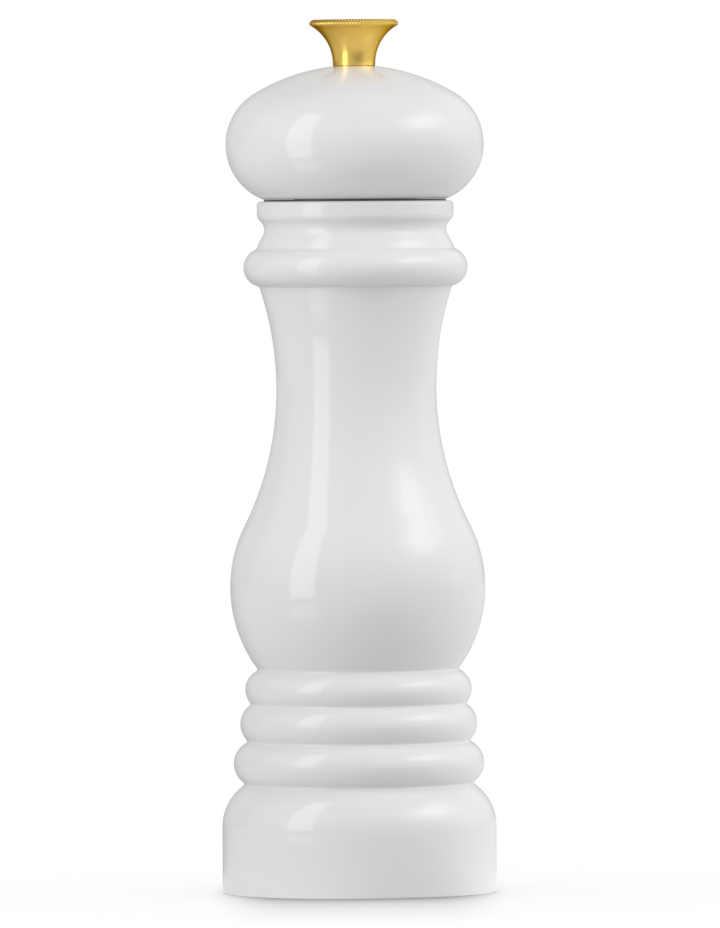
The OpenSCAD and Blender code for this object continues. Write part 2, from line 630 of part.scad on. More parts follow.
// one steep wall and one sloping wall, either side of a flat floor
module flute_cutter(length) {
    translate([0, 0, -length / 2]) linear_extrude(height = length)
        polygon([[0, -flute_w / 2], [0, flute_w / 2], [burr_top_r / 2, flute_w],
            [burr_top_r / 2, -flute_w / 2]]);
}
module burr_hub() {
    color("dimgray") difference() {
        union() {
            translate([0, 0, hub_flange_z]) cylinder(r = hub_flange[0], h = hub_flange[1]);
            hexagon(hub_af, burr_z - hub_flange[1] / 2, hub_h + hub_flange[1] / 2);
        }
        square_bore(square_hole, hub_flange_z - past, hub_h + hub_flange[1] + 2 * past);
    }
}
module burr_washer() {
    color("silver") ring(burr_washer_size[0], thread_r + fit_gap, burr_washer_z, burr_washer_size[1]);
}
module burr_nut() {
    af = burr_nut_size[0];
    color("silver") difference() {
        intersection() {
            hexagon(af, burr_nut_z, burr_nut_size[1]);
            translate([0, 0, burr_nut_z]) cylinder(r1 = af / 2, r2 = af, h = af / 2);
        }
        translate([0, 0, burr_nut_z - past])
            cylinder(r = thread_r + run_gap, h = burr_nut_size[1] + 2 * past);
    }
}

// ---- Head ----
module head_shell() {
    low_start = -asin(head_rise / head_low_round);
    mouth_angle = -acos((head_mouth_r - head_low_c.x) / (head_low_round - head_wall));
    touch = bearing(crown_c, shoulder_c);
    seat_angle = acos(seat_r / crown_round);
    boss_angle = acos(seat_r / (crown_round - head_wall));
    outside = concat([[head_mouth_r, head_z]], arc(head_low_c, head_low_round, low_start, 0),
        arc(shoulder_c, shoulder_round, 0, touch), arc(crown_c, crown_round, touch, seat_angle),
        [[seat_r, seat_z], [thread_r + turn_gap, seat_z]]);
    inside = concat(arc(head_low_c, head_low_round - head_wall, mouth_angle, 0),
        arc(shoulder_c, shoulder_round - head_wall, 0, touch),
        arc(crown_c, crown_round - head_wall, touch, boss_angle),
        [[seat_r, crown_boss_z], [thread_r + turn_gap, crown_boss_z]]);
    color("whitesmoke") rotate_extrude() polygon(joined(concat(outside, backwards(inside))));
}
module head_core() {
    tower_r = tower_bore_r + core_wall;
    floor_z = spigot_z + core_wall;
    color("gainsboro") difference() {
        union() {
            rotate_extrude() polygon([[tower_bore_r, spigot_z], [spigot_r, spigot_z], [spigot_r, head_z],
                [head_mouth_r - fit_gap, head_z], [head_mouth_r - fit_gap, head_z + core_wall],
                [spigot_r - core_wall, head_z + core_wall], [spigot_r - core_wall, floor_z],
                [tower_r, floor_z], [tower_r, crown_boss_z], [tower_bore_r, crown_boss_z]]);
            difference() {
                at_screws(drive_screw_r) translate([0, 0, spigot_z])
                    cylinder(r = boss_r, h = screw_len + boss_extra - drive_plate_t);
                translate([0, 0, spigot_z - past]) cylinder(r = tower_bore_r, h = 2 * spigot_depth);
            }
        }
        at_screws(drive_screw_r) translate([0, 0, spigot_z - past])
            cylinder(r = screw_r + run_gap, h = past + screw_len - drive_plate_t + fit_gap);
    }
}
module drive_plate() {
    color("silver") difference() {
        translate([0, 0, drive_plate_z]) cylinder(r = spigot_r - core_wall, h = drive_plate_t);
        square_bore(square_hole, drive_plate_z - past, drive_plate_t + 2 * past);
        at_screws(drive_screw_r) translate([0, 0, drive_plate_z - past])
            cylinder(r = screw_r + fit_gap, h = drive_plate_t + 2 * past);
    }
}
module drive_plate_screws() {
    color("silver") at_screws(drive_screw_r) translate([0, 0, drive_plate_z]) screw();
}

// ---- Knob ----
module knob_washer() {
    color("gold") ring(knob_foot_r - fit_gap, thread_r + turn_gap, seat_z, knob_washer_t);
}
module knob() {
    rim_z0 = knob_h - knob_rim_h - knob_bevel[1];
    spread = knob_rim_r - knob_bevel[0] - knob_foot_r;
    flare_h = rim_z0 - knob_foot_h - knob_bevel[0];
    flare_round = (pow(spread, 2) + pow(flare_h, 2)) / (2 * spread);
    flare_c = [knob_foot_r + flare_round, knob_foot_h];
    rim_end = flare_c + [spread - flare_round, flare_h];
    bore_h = thread_engage + spindle_bevel;
    dish_r = knob_rim_r - knob_bevel[1] - knob_band;
    color("goldenrod") translate([0, 0, knob_z]) difference() {
        intersection() {
            rotate_extrude() polygon(concat([[0, 0], [knob_foot_r, 0]],
                arc(flare_c, flare_round, 180, bearing(flare_c, rim_end)),
                [[knob_rim_r, rim_z0], [knob_rim_r, knob_h - knob_bevel[1]],
                [knob_rim_r - knob_bevel[1], knob_h], [0, knob_h]]));
            linear_extrude(height = knob_h) polygon([for (i = [0 : 2 * knurl_count - 1])
                let(a = 180 * i / knurl_count, r = knob_rim_r + (i % 2 == 0 ? knurl_tip : -knurl_depth))
                r * [cos(a), sin(a)]]);
        }
        translate([0, 0, -past]) cylinder(r = thread_r + run_gap, h = bore_h + past);
        translate([0, 0, knob_h - knob_dish])
            cylinder(r1 = dish_r - knob_dish, r2 = dish_r, h = knob_dish);
    }
}

body_shell();
pepper_tube();
base_plate();
base_plate_screws();
grinder_housing();
housing_screws();
burr_ring();
bridge();
bridge_bush();
glide_ring();
spring_washer();
grinder_spring();
spindle();
burr_cone();
burr_hub();
burr_washer();
burr_nut();
head_shell();
head_core();
drive_plate();
drive_plate_screws();
knob_washer();
knob();
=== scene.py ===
# %% [markdown]
# # A turned pepper mill
#
# A pepper mill of the classic kind is one long turned shape: a foot, three beads, a belly, a waist and a
# collar, with a round head on top and a small brass knob. Here the outer shells are moulded in glossy
# white ABS. Inside are a tube for the peppercorns, a square steel spindle and a grinder with two ceramic
# burrs.
#
# The engineering model holds every part in its place and says how it moves. This lesson loads it as a
# fixed frame, turns smooth shells over it, cuts the threads and knurls that the frame leaves plain, and
# gives each part its finish.

# %% Load the frame
import json
import math

import bpy
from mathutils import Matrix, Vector


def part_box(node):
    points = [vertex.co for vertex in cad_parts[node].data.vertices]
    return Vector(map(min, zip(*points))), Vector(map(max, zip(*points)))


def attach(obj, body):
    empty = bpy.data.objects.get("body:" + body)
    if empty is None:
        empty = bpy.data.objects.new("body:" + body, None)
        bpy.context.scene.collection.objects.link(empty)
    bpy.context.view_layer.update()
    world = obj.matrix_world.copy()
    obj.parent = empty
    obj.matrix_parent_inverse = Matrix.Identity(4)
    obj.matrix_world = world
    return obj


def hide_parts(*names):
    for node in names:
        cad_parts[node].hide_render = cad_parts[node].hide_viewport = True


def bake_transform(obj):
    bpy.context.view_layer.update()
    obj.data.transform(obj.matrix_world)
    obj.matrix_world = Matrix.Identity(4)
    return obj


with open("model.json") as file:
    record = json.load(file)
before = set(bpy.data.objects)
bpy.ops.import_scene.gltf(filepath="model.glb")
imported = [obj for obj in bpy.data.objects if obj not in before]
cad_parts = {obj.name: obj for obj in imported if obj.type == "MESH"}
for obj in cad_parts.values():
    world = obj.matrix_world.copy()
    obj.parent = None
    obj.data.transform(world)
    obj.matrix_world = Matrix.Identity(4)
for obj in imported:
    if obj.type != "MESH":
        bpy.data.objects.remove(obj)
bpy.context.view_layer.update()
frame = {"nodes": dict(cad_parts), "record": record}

# %% [markdown]
# Blender works in metres and a lathe hand thinks in millimetres. Outlines below are lists of (radius,
# height) in millimetres, and one function hands them to Blender. An operator acts on whatever is selected,
# and the frame arrives selected, so each step starts by putting everything down.

# %% Pick things up and put them down
MM = 0.001
SAME = 0.002 * MM  # points nearer to each other than this are one point


def put_down():
    if bpy.context.object and bpy.context.object.mode != "OBJECT":
        bpy.ops.object.mode_set(mode="OBJECT")
    bpy.ops.object.select_all(action="DESELECT")


def pick_up(piece):
    put_down()
    piece.select_set(True)
    bpy.context.view_layer.objects.active = piece


def settle(piece, smooth_angle=30):
    """Leaves a piece at the origin, with its doubles merged, its faces outwards and its soft edges smooth."""
    pick_up(piece)
    bpy.ops.object.transform_apply(location=True, rotation=True, scale=True)
    bpy.ops.object.mode_set(mode="EDIT")
    bpy.ops.mesh.select_all(action="SELECT")
    bpy.ops.mesh.remove_doubles(threshold=SAME)
    bpy.ops.mesh.normals_make_consistent(inside=False)
    bpy.ops.object.mode_set(mode="OBJECT")
    bpy.ops.object.shade_smooth_by_angle(angle=math.radians(smooth_angle))
    faces = len(piece.data.polygons)
    low, high = (piece.bound_box[corner][2] / MM for corner in (0, 6))
    print("%s: %d faces, %.1f to %.1f mm high" % (piece.name, faces, low, high))


put_down()
print("nothing is selected:", len(bpy.context.selected_objects) == 0)

# %% [markdown]
# A turned outline is made of arcs that run into each other: each bead is one arc, and the groove between
# two beads is a small arc that touches both. So a few radii and heights say it all, and three small
# functions find where the arcs meet. `arc` gives the points of one arc by the shorter way round, close
# enough together that no point of the true curve lies further than `chord` from the line.

# %% Arcs of an outline
def bearing(p, q):
    return math.degrees(math.atan2(q[1] - p[1], q[0] - p[0]))


def arc(centre, radius, start, end, chord=0.006):
    turn = (end - start + 540) % 360 - 180
    step = math.degrees(2 * math.acos(1 - chord / max(radius, 4 * chord)))
    count = max(2, math.ceil(abs(turn) / step))
    angles = [math.radians(start + turn * i / count) for i in range(count + 1)]
    return [(centre[0] + radius * math.cos(a), centre[1] + radius * math.sin(a)) for a in angles]


def meet(p, from_p, q, from_q):
    """The point that lies from_p from p and from_q from q, on the right of the way from p to q."""
    d = math.dist(p, q)
    along = (d * d + from_p * from_p - from_q * from_q) / (2 * d)
    side = math.sqrt(from_p * from_p - along * along)
    u = ((q[0] - p[0]) / d, (q[1] - p[1]) / d)
    return (p[0] + along * u[0] + side * u[1], p[1] + along * u[1] - side * u[0])


def above(p, distance, radius):
    """The point above p, at that distance from it and at that radius from the axis."""
    return (radius, p[1] + math.sqrt(distance ** 2 - (radius - p[0]) ** 2))


def joined(points):
    """The same points without those where one arc ends and the next starts."""
    return [p for i, p in enumerate(points) if i == 0 or math.dist(p, points[i - 1]) > SAME / MM]


print("a 6 mm bead takes", len(arc((0, 0), 6, -50, 50)), "points from groove to groove")

# %% [markdown]
# Spin is Blender's lathe. A plane is merged to one vertex, the vertex is extruded from point to point
# along the outline, and the finished line is spun once round the axis. It is better than a stack of
# cylinders, because light runs over it without a seam, and the wall, the rim and the inside are all one
# closed skin.

# %% Turn an outline on the lathe
def draw_line(name, points):
    """A wire from point to point of an outline, in the plane y = 0, left in edit mode."""
    put_down()
    bpy.ops.mesh.primitive_plane_add(size=MM, location=(points[0][0] * MM, 0, points[0][1] * MM))
    piece = bpy.context.object
    piece.name = piece.data.name = name
    bpy.ops.object.transform_apply(location=True)
    bpy.ops.object.mode_set(mode="EDIT")
    bpy.ops.mesh.select_all(action="SELECT")
    bpy.ops.mesh.merge(type="CENTER")
    for p, q in zip(points, points[1:]):
        step = ((q[0] - p[0]) * MM, 0, (q[1] - p[1]) * MM)
        bpy.ops.mesh.extrude_region_move(TRANSFORM_OT_translate={"value": step})
    return piece


def turned(name, outline, steps=192, smooth_angle=30):
    """A closed outline spun round the axis."""
    piece = draw_line(name, joined(outline) + [outline[0]])
    bpy.ops.mesh.select_all(action="SELECT")
    bpy.ops.mesh.remove_doubles(threshold=SAME)
    bpy.ops.mesh.select_all(action="SELECT")
    bpy.ops.mesh.spin(steps=steps, angle=math.tau, center=(0, 0, 0), axis=(0, 0, 1))
    settle(piece, smooth_angle)
    return piece


# %% [markdown]
# ## The body
#
# The body's outline is read from the foot up. The foot is 66 mm across, with a straight skirt and a round
# shoulder. Three beads follow, each a little smaller than the one below, then the belly, the waist, and
# the collar under the rim. The arc of the waist is the one that touches the belly's arc and stands upright
# at the narrowest place.

# %% Sizes of the body, in millimetres
foot_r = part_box("body_shell")[1].x / MM
rim_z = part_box("body_shell")[1].z / MM
foot_h, foot_round, foot_edge, foot_edge_middle = 15.9, 12.2, 0.5, 0.15
bead_r, bead_round, bead_z = (30.15, 28.5, 27.25), (5.6, 5.6, 5), (31.15, 40.65, 48.95)
groove_round = 0.6
belly_r, belly_round, belly_z = 30.7, 33, 73.5
waist_r, neck_round, waist_z = 19.25, 77, 121.5
collar_r, collar_round, collar_z = 26.95, 4.7, rim_z - 15.9
bell_r, bell_round = 24.55, 14
cove_r, cove_round = 21.9, 2.8
rim_r, rim_edges = 23.65, (2.1, 0.9)
body_wall = 2.8
print("foot %.1f mm across, rim %.1f mm above the table" % (2 * foot_r, rim_z))

# %% Centres of the body's arcs
swells = [((foot_r - foot_round, foot_h), foot_round)]
swells += [((r - round_, z), round_) for r, round_, z in zip(bead_r, bead_round, bead_z)]
swells += [((belly_r - belly_round, belly_z), belly_round)]
dips = [meet(p, a + groove_round, q, b + groove_round) for (p, a), (q, b) in zip(swells, swells[1:])]
rise, inset = waist_z - belly_z, belly_r - waist_r
waist_round = (inset ** 2 + rise ** 2) / (2 * inset) - belly_round
waist_c = (waist_r + waist_round, waist_z)
neck_c = (waist_r + neck_round, waist_z)
collar_c = (collar_r - collar_round, collar_z)
nook_c = meet(collar_c, collar_round + groove_round, neck_c, neck_round - groove_round)
bell_c = (bell_r - bell_round, collar_z)
ledge_c = meet(collar_c, collar_round + groove_round, bell_c, bell_round + groove_round)
cove_c = above(bell_c, bell_round + cove_round, cove_r + cove_round)
rim_low_c = above(cove_c, cove_round + rim_edges[0], rim_r - rim_edges[0])
print("the waist's arc has a radius of %.1f mm" % waist_round)


# %% The body's outline, at a depth under its surface
fine, coarse = 0.006, 0.06  # how far a line may lie from its curve, on the outside and on the inside


def foot_to_belly(depth, chord):
    points = []
    for i, (c, radius) in enumerate(swells):
        start = bearing(c, dips[i - 1]) if i else 0
        after = dips[i] if i < len(dips) else waist_c
        points += arc(c, radius - depth, start, bearing(c, after), chord)
        if i < len(dips):
            end = bearing(after, swells[i + 1][0])
            points += arc(after, groove_round + depth, bearing(after, c), end, chord)
    return points


def waist_to_cove(depth, cove_end, chord):
    return (arc(waist_c, waist_round + depth, bearing(waist_c, swells[-1][0]), 180, chord)
            + arc(neck_c, neck_round + depth, 180, bearing(neck_c, nook_c), chord)
            + arc(nook_c, groove_round + depth, bearing(neck_c, nook_c), bearing(nook_c, collar_c), chord)
            + arc(collar_c, collar_round - depth,
                  bearing(collar_c, nook_c), bearing(collar_c, ledge_c), chord)
            + arc(ledge_c, groove_round + depth, bearing(ledge_c, collar_c), bearing(ledge_c, bell_c), chord)
            + arc(bell_c, bell_round - depth, bearing(bell_c, ledge_c), bearing(bell_c, cove_c), chord)
            + arc(cove_c, cove_round + depth, bearing(cove_c, bell_c), cove_end, chord))


print("from foot to belly the outline takes", len(foot_to_belly(0, fine)), "points")

# %% [markdown]
# The outside gets fine arcs, because it carries the reflections, and the inside gets coarse ones. The
# inside runs down behind the outside at the thickness of the wall, from the socket that holds the pepper
# tube to the open foot.

# %% Turn the body shell
tube_top, tube_bore_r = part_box("pepper_tube")[1].z / MM, 15.05
socket_r, socket_z = waist_r - body_wall, rim_z - 3
outside = [(foot_r - foot_edge, 0), (foot_r - foot_edge_middle, foot_edge_middle), (foot_r, foot_edge)]
outside += foot_to_belly(0, fine) + waist_to_cove(0, bearing(cove_c, rim_low_c), fine)
outside += arc(rim_low_c, rim_edges[0], bearing(rim_low_c, cove_c), 0)
outside += arc((rim_r - rim_edges[1], rim_z - rim_edges[1]), rim_edges[1], 0, 90)
inside = [(foot_r - body_wall, 0)] + foot_to_belly(body_wall, coarse) + waist_to_cove(body_wall, 180, coarse)
inside += [(cove_r - body_wall, socket_z), (socket_r, socket_z), (socket_r, tube_top)]
inside += [(tube_bore_r, tube_top), (tube_bore_r, rim_z)]
body = turned("turned_body", outside + inside[::-1])

# %% [markdown]
# ## The head
#
# The head is a squashed ball: a wide shallow crown, a tight shoulder, and a lower arc that tucks in to the
# seam. It is a shell too, with a flat seat in its crown for the knob's washer, and an open underside for
# the core.

# %% Turn the head shell
head_low, head_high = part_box("head_shell")
head_r, head_z = head_high.x / MM, head_low.z / MM
head_mid_h, crown_h, crown_round = 13.2, 19, 46.5
head_mid_z, crown_z = head_z + head_mid_h, head_z + head_mid_h + crown_h
head_wall, head_edge_r, head_mouth_r, head_chord = 2.6, 22.25, 20.5, 0.005
seat_r, seat_hole_r, seat_z, crown_boss_z = 5.6, 2.75, crown_z - 0.75, crown_z - 4.25
tuck, crown_drop = head_r - head_edge_r, crown_round - crown_h
head_low_round = (tuck ** 2 + head_mid_h ** 2) / (2 * tuck)
shoulder_round = (crown_round ** 2 - head_r ** 2 - crown_drop ** 2) / (2 * (crown_round - head_r))
low_c, shoulder_c = (head_r - head_low_round, head_mid_z), (head_r - shoulder_round, head_mid_z)
crown_c = (0, crown_z - crown_round)
touch = bearing(crown_c, shoulder_c)


def head_line(depth, low_start, chord):
    crown_end = math.degrees(math.acos(seat_r / (crown_round - depth)))
    return (arc(low_c, head_low_round - depth, low_start, 0, chord)
            + arc(shoulder_c, shoulder_round - depth, 0, touch, chord)
            + arc(crown_c, crown_round - depth, touch, crown_end, chord))


edge_angle = math.degrees(math.asin(head_mid_h / head_low_round))
mouth_angle = math.degrees(math.acos((head_mouth_r - low_c[0]) / (head_low_round - head_wall)))
head_outside = [(head_mouth_r, head_z)] + head_line(0, -edge_angle, head_chord)
head_outside += [(seat_r, seat_z), (seat_hole_r, seat_z)]
head_inside = head_line(head_wall, -mouth_angle, coarse)
head_inside += [(seat_r, crown_boss_z), (seat_hole_r, crown_boss_z)]
head = turned("turned_head", head_outside + head_inside[::-1])

# %% [markdown]
# ## The knob
#
# The knob is brass: a foot that flares to a thin knurled rim. It is spun with four steps to each tooth of
# the knurl, and then every fourth row of the rim is drawn in, which cuts the grooves. The bore in its foot
# takes the spindle, and its top has a shallow dish inside a plain band.

# %% Turn the knob
knob_low, knob_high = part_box("knob")
knob_z, knob_top = knob_low.z / MM, knob_high.z / MM
knob_foot_r, knob_foot_h, knob_foot_edge = 5.1, 0.6, 0.15
knob_rim_r, knob_rim_h, knob_chord = 10.7, 0.4, 0.003
under_bevel, top_bevel, top_bevel_middle = 0.25, 0.75, (0.35, 0.3)
dish_r, dish_depth = 8.75, 0.35
knob_bore_r, knob_bore_h, drill_point, axis_r = 2.55, 9.0, 1.2, 0.01
knurl_count, knurl_depth, steps_to_a_tooth = 88, 0.35, 4
rim_low = knob_top - knob_rim_h - top_bevel
spread = knob_rim_r - under_bevel - knob_foot_r
flare_h = rim_low - knob_z - knob_foot_h - under_bevel
flare_round = (spread ** 2 + flare_h ** 2) / (2 * spread)
flare_c = (knob_foot_r + flare_round, knob_z + knob_foot_h)
flare_end = (knob_foot_r + spread, flare_c[1] + flare_h)
knob_outline = [(knob_bore_r, knob_z), (knob_foot_r - knob_foot_edge, knob_z)]
knob_outline += [(knob_foot_r, knob_z + knob_foot_edge)]
knob_outline += arc(flare_c, flare_round, 180, bearing(flare_c, flare_end), knob_chord)
knob_outline += [(knob_rim_r, rim_low + part * knob_rim_h) for part in (0, 0.5, 1)]
knob_outline += [(knob_rim_r - top_bevel_middle[0], knob_top - top_bevel_middle[1])]
knob_outline += [(knob_rim_r - top_bevel, knob_top), (dish_r, knob_top)]
knob_outline += [(dish_r - dish_depth, knob_top - dish_depth), (axis_r, knob_top - dish_depth)]
knob_outline += [(axis_r, knob_z + knob_bore_h + drill_point), (knob_bore_r, knob_z + knob_bore_h)]
knob = turned("turned_knob", knob_outline, steps=steps_to_a_tooth * knurl_count)

# %% Knurl its rim
pick_up(knob)
bpy.ops.object.mode_set(mode="EDIT")
bpy.ops.mesh.select_all(action="DESELECT")
bpy.ops.object.mode_set(mode="OBJECT")
tooth = 360 / knurl_count
margin = 0.01
grooves = 0
for vertex in knob.data.vertices:
    turn = (math.degrees(math.atan2(vertex.co.y, vertex.co.x)) + 720) % tooth / tooth
    mid_tooth = abs(turn - 0.5) < 0.1
    on_rim = math.hypot(vertex.co.x, vertex.co.y) > (knob_rim_r - top_bevel - margin) * MM
    vertex.select = mid_tooth and on_rim and vertex.co.z > (rim_low - margin) * MM
    grooves += vertex.select
bpy.ops.object.mode_set(mode="EDIT")
shrink = (knob_rim_r - knurl_depth) / knob_rim_r
bpy.ops.transform.resize(value=(shrink, shrink, 1), center_override=(0, 0, 0))
bpy.ops.object.mode_set(mode="OBJECT")
print("drew in", grooves, "points of the rim for", knurl_count, "teeth")

# %% [markdown]
# ## The inside
#
# The parts that show once the head is off, or from below, keep the frame's shapes. The frame's meshes are
# loose triangles with hard edges, so each part is copied, its doubles are merged, and its soft edges are
# smoothed. The triangles also carry stored normals, which would shade the merged faces wrongly, so these
# are cleared first.

# %% Smooth copies of the inner parts
def smooth_copy(node, name, smooth_angle=25):
    put_down()
    piece = frame["nodes"][node].copy()
    piece.data = frame["nodes"][node].data.copy()
    piece.name = piece.data.name = name
    piece.parent = None
    bpy.context.collection.objects.link(piece)
    piece.matrix_world.identity()
    piece.data.materials.clear()
    pick_up(piece)
    bpy.ops.mesh.customdata_custom_splitnormals_clear()
    settle(piece, smooth_angle)
    return piece


INNER_PARTS = {
    "body": ["pepper_tube", "base_plate", "base_plate_screws", "grinder_housing", "housing_screws",
             "burr_ring", "bridge", "bridge_bush", "glide_ring"],
    "spring_seat": ["spring_washer"],
    "spindle": ["burr_cone", "burr_hub", "burr_washer", "burr_nut"],
    "head": ["head_core", "drive_plate", "drive_plate_screws"],
    "knob_washer": ["knob_washer"],
}
inner = {node: smooth_copy(node, "fine_" + node) for nodes in INNER_PARTS.values() for node in nodes}

# %% [markdown]
# The spindle is a square bar with its corners turned off and an M5 thread at each end. The frame leaves
# the thread plain. Here one tooth of the thread is drawn as a line as tall as the pitch, 0.8 mm, and the
# Screw modifier winds it up the spindle, which is just what a die does.

# %% Wind the spindle's threads
spindle_low, spindle_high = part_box("spindle")
thread_r, pitch, thread_depth = 2.5, 0.8, 0.45


def wound_thread(name, low, high):
    """A threaded rod from height low to high: one tooth wound up by Screw, with its ends cut and closed."""
    root = thread_r - thread_depth  # each flank takes 0.35 of the pitch, and the crest 0.1
    tooth = [(root, low - pitch), (root, low - 0.9 * pitch), (thread_r, low - 0.55 * pitch),
             (thread_r, low - 0.45 * pitch), (root, low - 0.1 * pitch), (root, low)]
    piece = draw_line(name, tooth)
    bpy.ops.object.mode_set(mode="OBJECT")
    screw = piece.modifiers.new("thread", "SCREW")
    screw.axis, screw.angle, screw.screw_offset = "Z", math.tau, pitch * MM
    screw.steps = screw.render_steps = 32
    screw.iterations = math.ceil((high - low) / pitch) + 2
    screw.use_merge_vertices = True
    bpy.ops.object.modifier_apply(modifier="thread")
    bpy.ops.object.mode_set(mode="EDIT")
    for height, keep_above in ((low, True), (high, False)):
        bpy.ops.mesh.select_all(action="SELECT")
        bpy.ops.mesh.bisect(plane_co=(0, 0, height * MM), plane_no=(0, 0, 1), use_fill=True,
                            clear_inner=keep_above, clear_outer=not keep_above)
    settle(piece, 40)
    return piece


upper_thread_z, lower_thread_z = 189.9, 8.1  # where the upper thread starts and the lower one ends
upper_thread = wound_thread("upper_thread", upper_thread_z, spindle_high.z / MM)
lower_thread = wound_thread("lower_thread", spindle_low.z / MM, lower_thread_z)

# %% The square bar between them
bar_side, bar_corner_r, bar_low, bar_high, end_inset = 5, 3.35, 7.9, 190, 0.5
put_down()
bpy.ops.mesh.primitive_cube_add(size=1, location=(0, 0, (bar_low + bar_high) / 2 * MM),
                                scale=(bar_side * MM, bar_side * MM, (bar_high - bar_low) * MM))
bar = bpy.context.object
bar.name = bar.data.name = "square_bar"
bpy.ops.object.transform_apply(location=True, scale=True)
bpy.ops.object.mode_set(mode="EDIT")
bpy.ops.mesh.select_all(action="DESELECT")
bpy.ops.object.mode_set(mode="OBJECT")
for edge in bar.data.edges:
    a, b = (bar.data.vertices[i].co for i in edge.vertices)
    edge.select = abs(a.z - b.z) > bar_side * MM
bpy.ops.object.mode_set(mode="EDIT")
corner = (bar_side / 2 - math.sqrt(bar_corner_r ** 2 - (bar_side / 2) ** 2)) * MM
bpy.ops.mesh.bevel(offset=corner, segments=2, profile=0.62, affect="EDGES")
bpy.ops.mesh.select_all(action="DESELECT")
bpy.ops.object.mode_set(mode="OBJECT")
for face in bar.data.polygons:
    face.select = abs(face.normal.z) > 0.9
bpy.ops.object.mode_set(mode="EDIT")
bpy.ops.mesh.inset(thickness=end_inset * MM, use_individual=True)
bpy.ops.object.mode_set(mode="OBJECT")
settle(bar, 20)
pick_up(bar)
for part in (upper_thread, lower_thread):
    part.select_set(True)
bpy.ops.object.join()
spindle = bpy.context.object
spindle.name = spindle.data.name = "threaded_spindle"

# %% [markdown]
# The spring is a wire of 0.8 mm wound five times, close at both ends and open between. Its upper end stays
# at the bridge while the spindle draws its lower end up and down.

# %% Wind the spring
spring_low, spring_high = (c.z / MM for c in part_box("grinder_spring"))
spring_r, wire_r, spring_turns = 5, 0.4, 5
close_rise = 2.1 * wire_r
open_rise = (spring_high - spring_low - 2 * wire_r - 2 * close_rise) / (spring_turns - 2)
put_down()
bpy.ops.curve.primitive_bezier_circle_add(radius=spring_r * MM, location=(0, 0, 0))
spring = bpy.context.object
spring.name = spring.data.name = "wound_spring"
spring.data.splines.clear()
coil = spring.data.splines.new("POLY")
coil_steps = 32 * spring_turns
coil.points.add(coil_steps)
for i, point in enumerate(coil.points):
    turns = spring_turns * i / coil_steps
    lift = (close_rise * turns if turns < 1 else
            close_rise + open_rise * (turns - 1) if turns < spring_turns - 1 else
            close_rise * (turns - spring_turns + 2) + open_rise * (spring_turns - 2))
    a, height = math.tau * turns, spring_low + wire_r + lift
    point.co = (spring_r * MM * math.cos(a), spring_r * MM * math.sin(a), height * MM, 1)
spring.data.bevel_depth = wire_r * MM
spring.data.bevel_resolution = 3
spring.data.use_fill_caps = True
pick_up(spring)
bpy.ops.object.convert(target="MESH")
spring = bpy.context.object
settle(spring, 50)

# %% [markdown]
# ## Finishes
#
# A material starts from what the real one is and how its surface was made. Colours are written as they
# look on a screen, as hex values, and one function turns them to the linear numbers that Blender
# calculates with. Another adds a node with its settings and links. Patterns are scaled from real sizes:
# Object coordinates are in metres, so a pattern that repeats every `size` millimetres has a scale of
# 1000 / size.
#
# Each finish then reads from top to bottom: first its patterns, then what they do to the surface, and last
# the Principled shader that takes them all.

# %% Helpers for materials
def linear(hex_colour):
    channels = [int(hex_colour[i:i + 2], 16) / 255 for i in (1, 3, 5)]
    return tuple(c / 12.92 if c <= 0.04045 else ((c + 0.055) / 1.055) ** 2.4 for c in channels) + (1,)


def add(material, kind, settings=(), second=None, **links):
    """Adds a node, sets its properties and its sockets' values, and links its inputs to other outputs.

    The two values of a sum or a product share one name, so the second, a number or an output, comes apart."""
    node = material.node_tree.nodes.new(kind)
    for key, value in dict(settings).items():
        if key in node.inputs:
            node.inputs[key].default_value = value
        else:
            setattr(node, key, value)
    for key, source in links.items():
        material.node_tree.links.new(source, node.inputs[key.replace("_", " ")])
    if isinstance(second, bpy.types.NodeSocket):
        material.node_tree.links.new(second, node.inputs[1])
    elif second is not None:
        node.inputs[1].default_value = second
    return node


def per_mm(size):
    """The scale of a noise or wave whose features are about size millimetres across."""
    return 1000 / size


def new_material(name):
    """A material with no nodes yet but its Object coordinates."""
    material = bpy.data.materials.new(name)
    material.use_nodes = True
    material.node_tree.nodes.clear()
    return material, add(material, "ShaderNodeTexCoord").outputs["Object"]


print("a screen's middle grey, #808080, is %.2f in linear light" % linear("#808080")[0])

# %% [markdown]
# ### Glossy white ABS
#
# ABS from a polished mould is a dense, slightly cool white with a clear gloss. A polished mould is never
# quite flat: the skin rolls by a few thousandths of a millimetre over a centimetre or so, which makes
# reflections swim a little, and handling leaves faint dull marks.

# %% Glossy white ABS
abs_white, place = new_material("polished white ABS")
roll = add(abs_white, "ShaderNodeTexNoise", {"Scale": per_mm(14), "Detail": 1.0}, Vector=place).outputs["Fac"]
skin = add(abs_white, "ShaderNodeBump", {"Strength": 0.6, "Distance": 0.012 * MM}, Height=roll)
haze = add(abs_white, "ShaderNodeTexNoise", {
    "Scale": per_mm(5), "Detail": 6.0, "Roughness": 0.6}, Vector=place).outputs["Fac"]
gloss = add(abs_white, "ShaderNodeMapRange", {"To Min": 0.07, "To Max": 0.13}, Value=haze)
shader = add(abs_white, "ShaderNodeBsdfPrincipled", {"Base Color": linear("#E4E4E4"), "IOR": 1.54},
             Roughness=gloss.outputs["Result"], Normal=skin.outputs["Normal"])
add(abs_white, "ShaderNodeOutputMaterial", Surface=shader.outputs["BSDF"])
print(abs_white.name, "has", len(abs_white.node_tree.nodes), "nodes")

